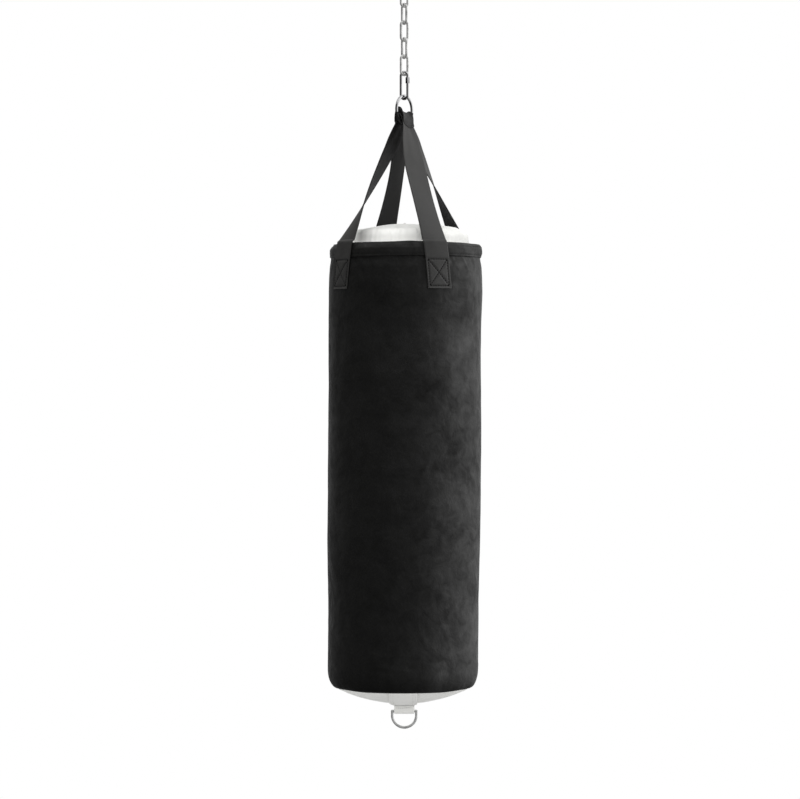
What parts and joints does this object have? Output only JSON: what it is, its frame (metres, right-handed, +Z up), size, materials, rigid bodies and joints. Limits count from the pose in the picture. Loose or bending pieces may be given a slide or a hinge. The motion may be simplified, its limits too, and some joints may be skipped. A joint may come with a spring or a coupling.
{
  "type": "punching bag",
  "caption": "Heavy hanging punching bag: ceiling plate with swivel, chain, quick link, ring, crossed webbing straps and a stuffed fabric cylinder with a lower D-ring.",
  "frame": {"origin": "centre of the ceiling plate's top face, in the middle of its four bolt holes", "axes": "+Z up, towards the ceiling; the bag hangs along -Z; -Y is the front, +X the front's right"},
  "size_m": [0.3108, 0.312, 1.5583],
  "materials": {
    "zinc_plate": "satin",
    "zinc_chain": "polished",
    "chrome_ring": "polished",
    "black_webbing": "matte",
    "shell_fabric": "satin",
    "hem_fabric": "satin",
    "white_fabric": "matte",
    "white_webbing": "matte",
    "zip_tape": "matte",
    "zip_coil": "satin",
    "zip_metal": "satin",
    "foam": "matte",
    "textile_fill": "matte",
    "sand": "matte"
  },
  "bodies": {
    "ceiling_mount": {"ceiling_plate": "zinc_plate", "swivel_housing": "zinc_plate", "swivel_washer": "zinc_plate"},
    "swivel": {"swivel_eye": "zinc_plate", "swivel_nut": "zinc_plate"},
    "chain_link_1": {"chain_link_1": "zinc_chain"},
    "chain_link_2": {"chain_link_2": "zinc_chain"},
    "chain_link_3": {"chain_link_3": "zinc_chain"},
    "chain_link_4": {"chain_link_4": "zinc_chain"},
    "chain_link_5": {"chain_link_5": "zinc_chain"},
    "quick_link": {"quick_link": "zinc_chain"},
    "sleeve_nut": {"quick_link_nut": "zinc_chain"},
    "ring": {"hanging_ring": "chrome_ring"},
    "bag": {"strap_front_to_back": "black_webbing", "strap_side_to_side": "black_webbing", "shell": "shell_fabric", "top_hem": "hem_fabric", "seam_strip": "shell_fabric", "top_panel": "white_fabric", "zip_tape": "zip_tape", "zip_coil": "zip_coil", "bottom_panel": "white_fabric", "bottom_patch": "white_webbing", "bottom_loop": "white_webbing", "foam_liner": "foam", "fill_core": "textile_fill", "sand_bag_upper": "sand", "sand_bag_middle": "sand", "sand_bag_lower": "sand"},
    "zip_slider": {"zip_slider": "zip_metal"},
    "zip_pull": {"zip_pull": "zip_metal"},
    "d_ring": {"bottom_d_ring": "chrome_ring"}
  },
  "joints": [
    {"name": "swivel_turn", "type": "hinge", "parent": "ceiling_mount", "child": "swivel", "pos_m": [0, 0, -0.022], "axis": [0, 0, 1], "continuous": true},
    {"name": "link_1_swing", "type": "hinge", "parent": "swivel", "child": "chain_link_1", "pos_m": [0, 0, -0.0593], "axis": [0.5446, -0.8387, 0], "range_deg": [-15, 15]},
    {"name": "link_2_swing", "type": "hinge", "parent": "chain_link_1", "child": "chain_link_2", "pos_m": [0, 0, -0.0925], "axis": [0.8387, 0.5446, 0], "range_deg": [-15, 15]},
    {"name": "link_3_swing", "type": "hinge", "parent": "chain_link_2", "child": "chain_link_3", "pos_m": [0, 0, -0.1272], "axis": [0.5446, -0.8387, 0], "range_deg": [-15, 15]},
    {"name": "link_4_swing", "type": "hinge", "parent": "chain_link_3", "child": "chain_link_4", "pos_m": [0, 0, -0.1619], "axis": [0.8387, 0.5446, 0], "range_deg": [-15, 15]},
    {"name": "link_5_swing", "type": "hinge", "parent": "chain_link_4", "child": "chain_link_5", "pos_m": [0, 0, -0.1966], "axis": [0.5446, -0.8387, 0], "range_deg": [-15, 15]},
    {"name": "quick_link_swing", "type": "hinge", "parent": "chain_link_5", "child": "quick_link", "pos_m": [0, 0, -0.2313], "axis": [0.8387, 0.5446, 0], "range_deg": [-12, 12]},
    {"name": "sleeve_nut_travel", "type": "slide", "parent": "quick_link", "child": "sleeve_nut", "axis": [0, 0, 1], "range_m": [-0.0105, 0]},
    {"name": "ring_swing", "type": "hinge", "parent": "quick_link", "child": "ring", "pos_m": [0, 0, -0.27975], "axis": [0.8387, -0.5446, 0], "range_deg": [-20, 20]},
    {"name": "bag_swing", "type": "hinge", "parent": "ring", "child": "bag", "pos_m": [0, 0, -0.3307], "axis": [0.5446, 0.8387, 0], "range_deg": [-12, 12]},
    {"name": "zip_slider_run", "type": "hinge", "parent": "bag", "child": "zip_slider", "pos_m": [0, 0.05, -0.8612], "axis": [0, -1, 0], "range_deg": [0, 20.3]},
    {"name": "zip_pull_flip", "type": "hinge", "parent": "zip_slider", "child": "zip_pull", "pos_m": [0.05872, 0.05106, -0.53333], "axis": [0.0267, -0.9885, 0.1491], "range_deg": [0, 150]},
    {"name": "d_ring_swing", "type": "hinge", "parent": "bag", "child": "d_ring", "pos_m": [0, 0, -1.5224], "axis": [1, 0, 0], "range_deg": [-80, 80]}
  ]
}
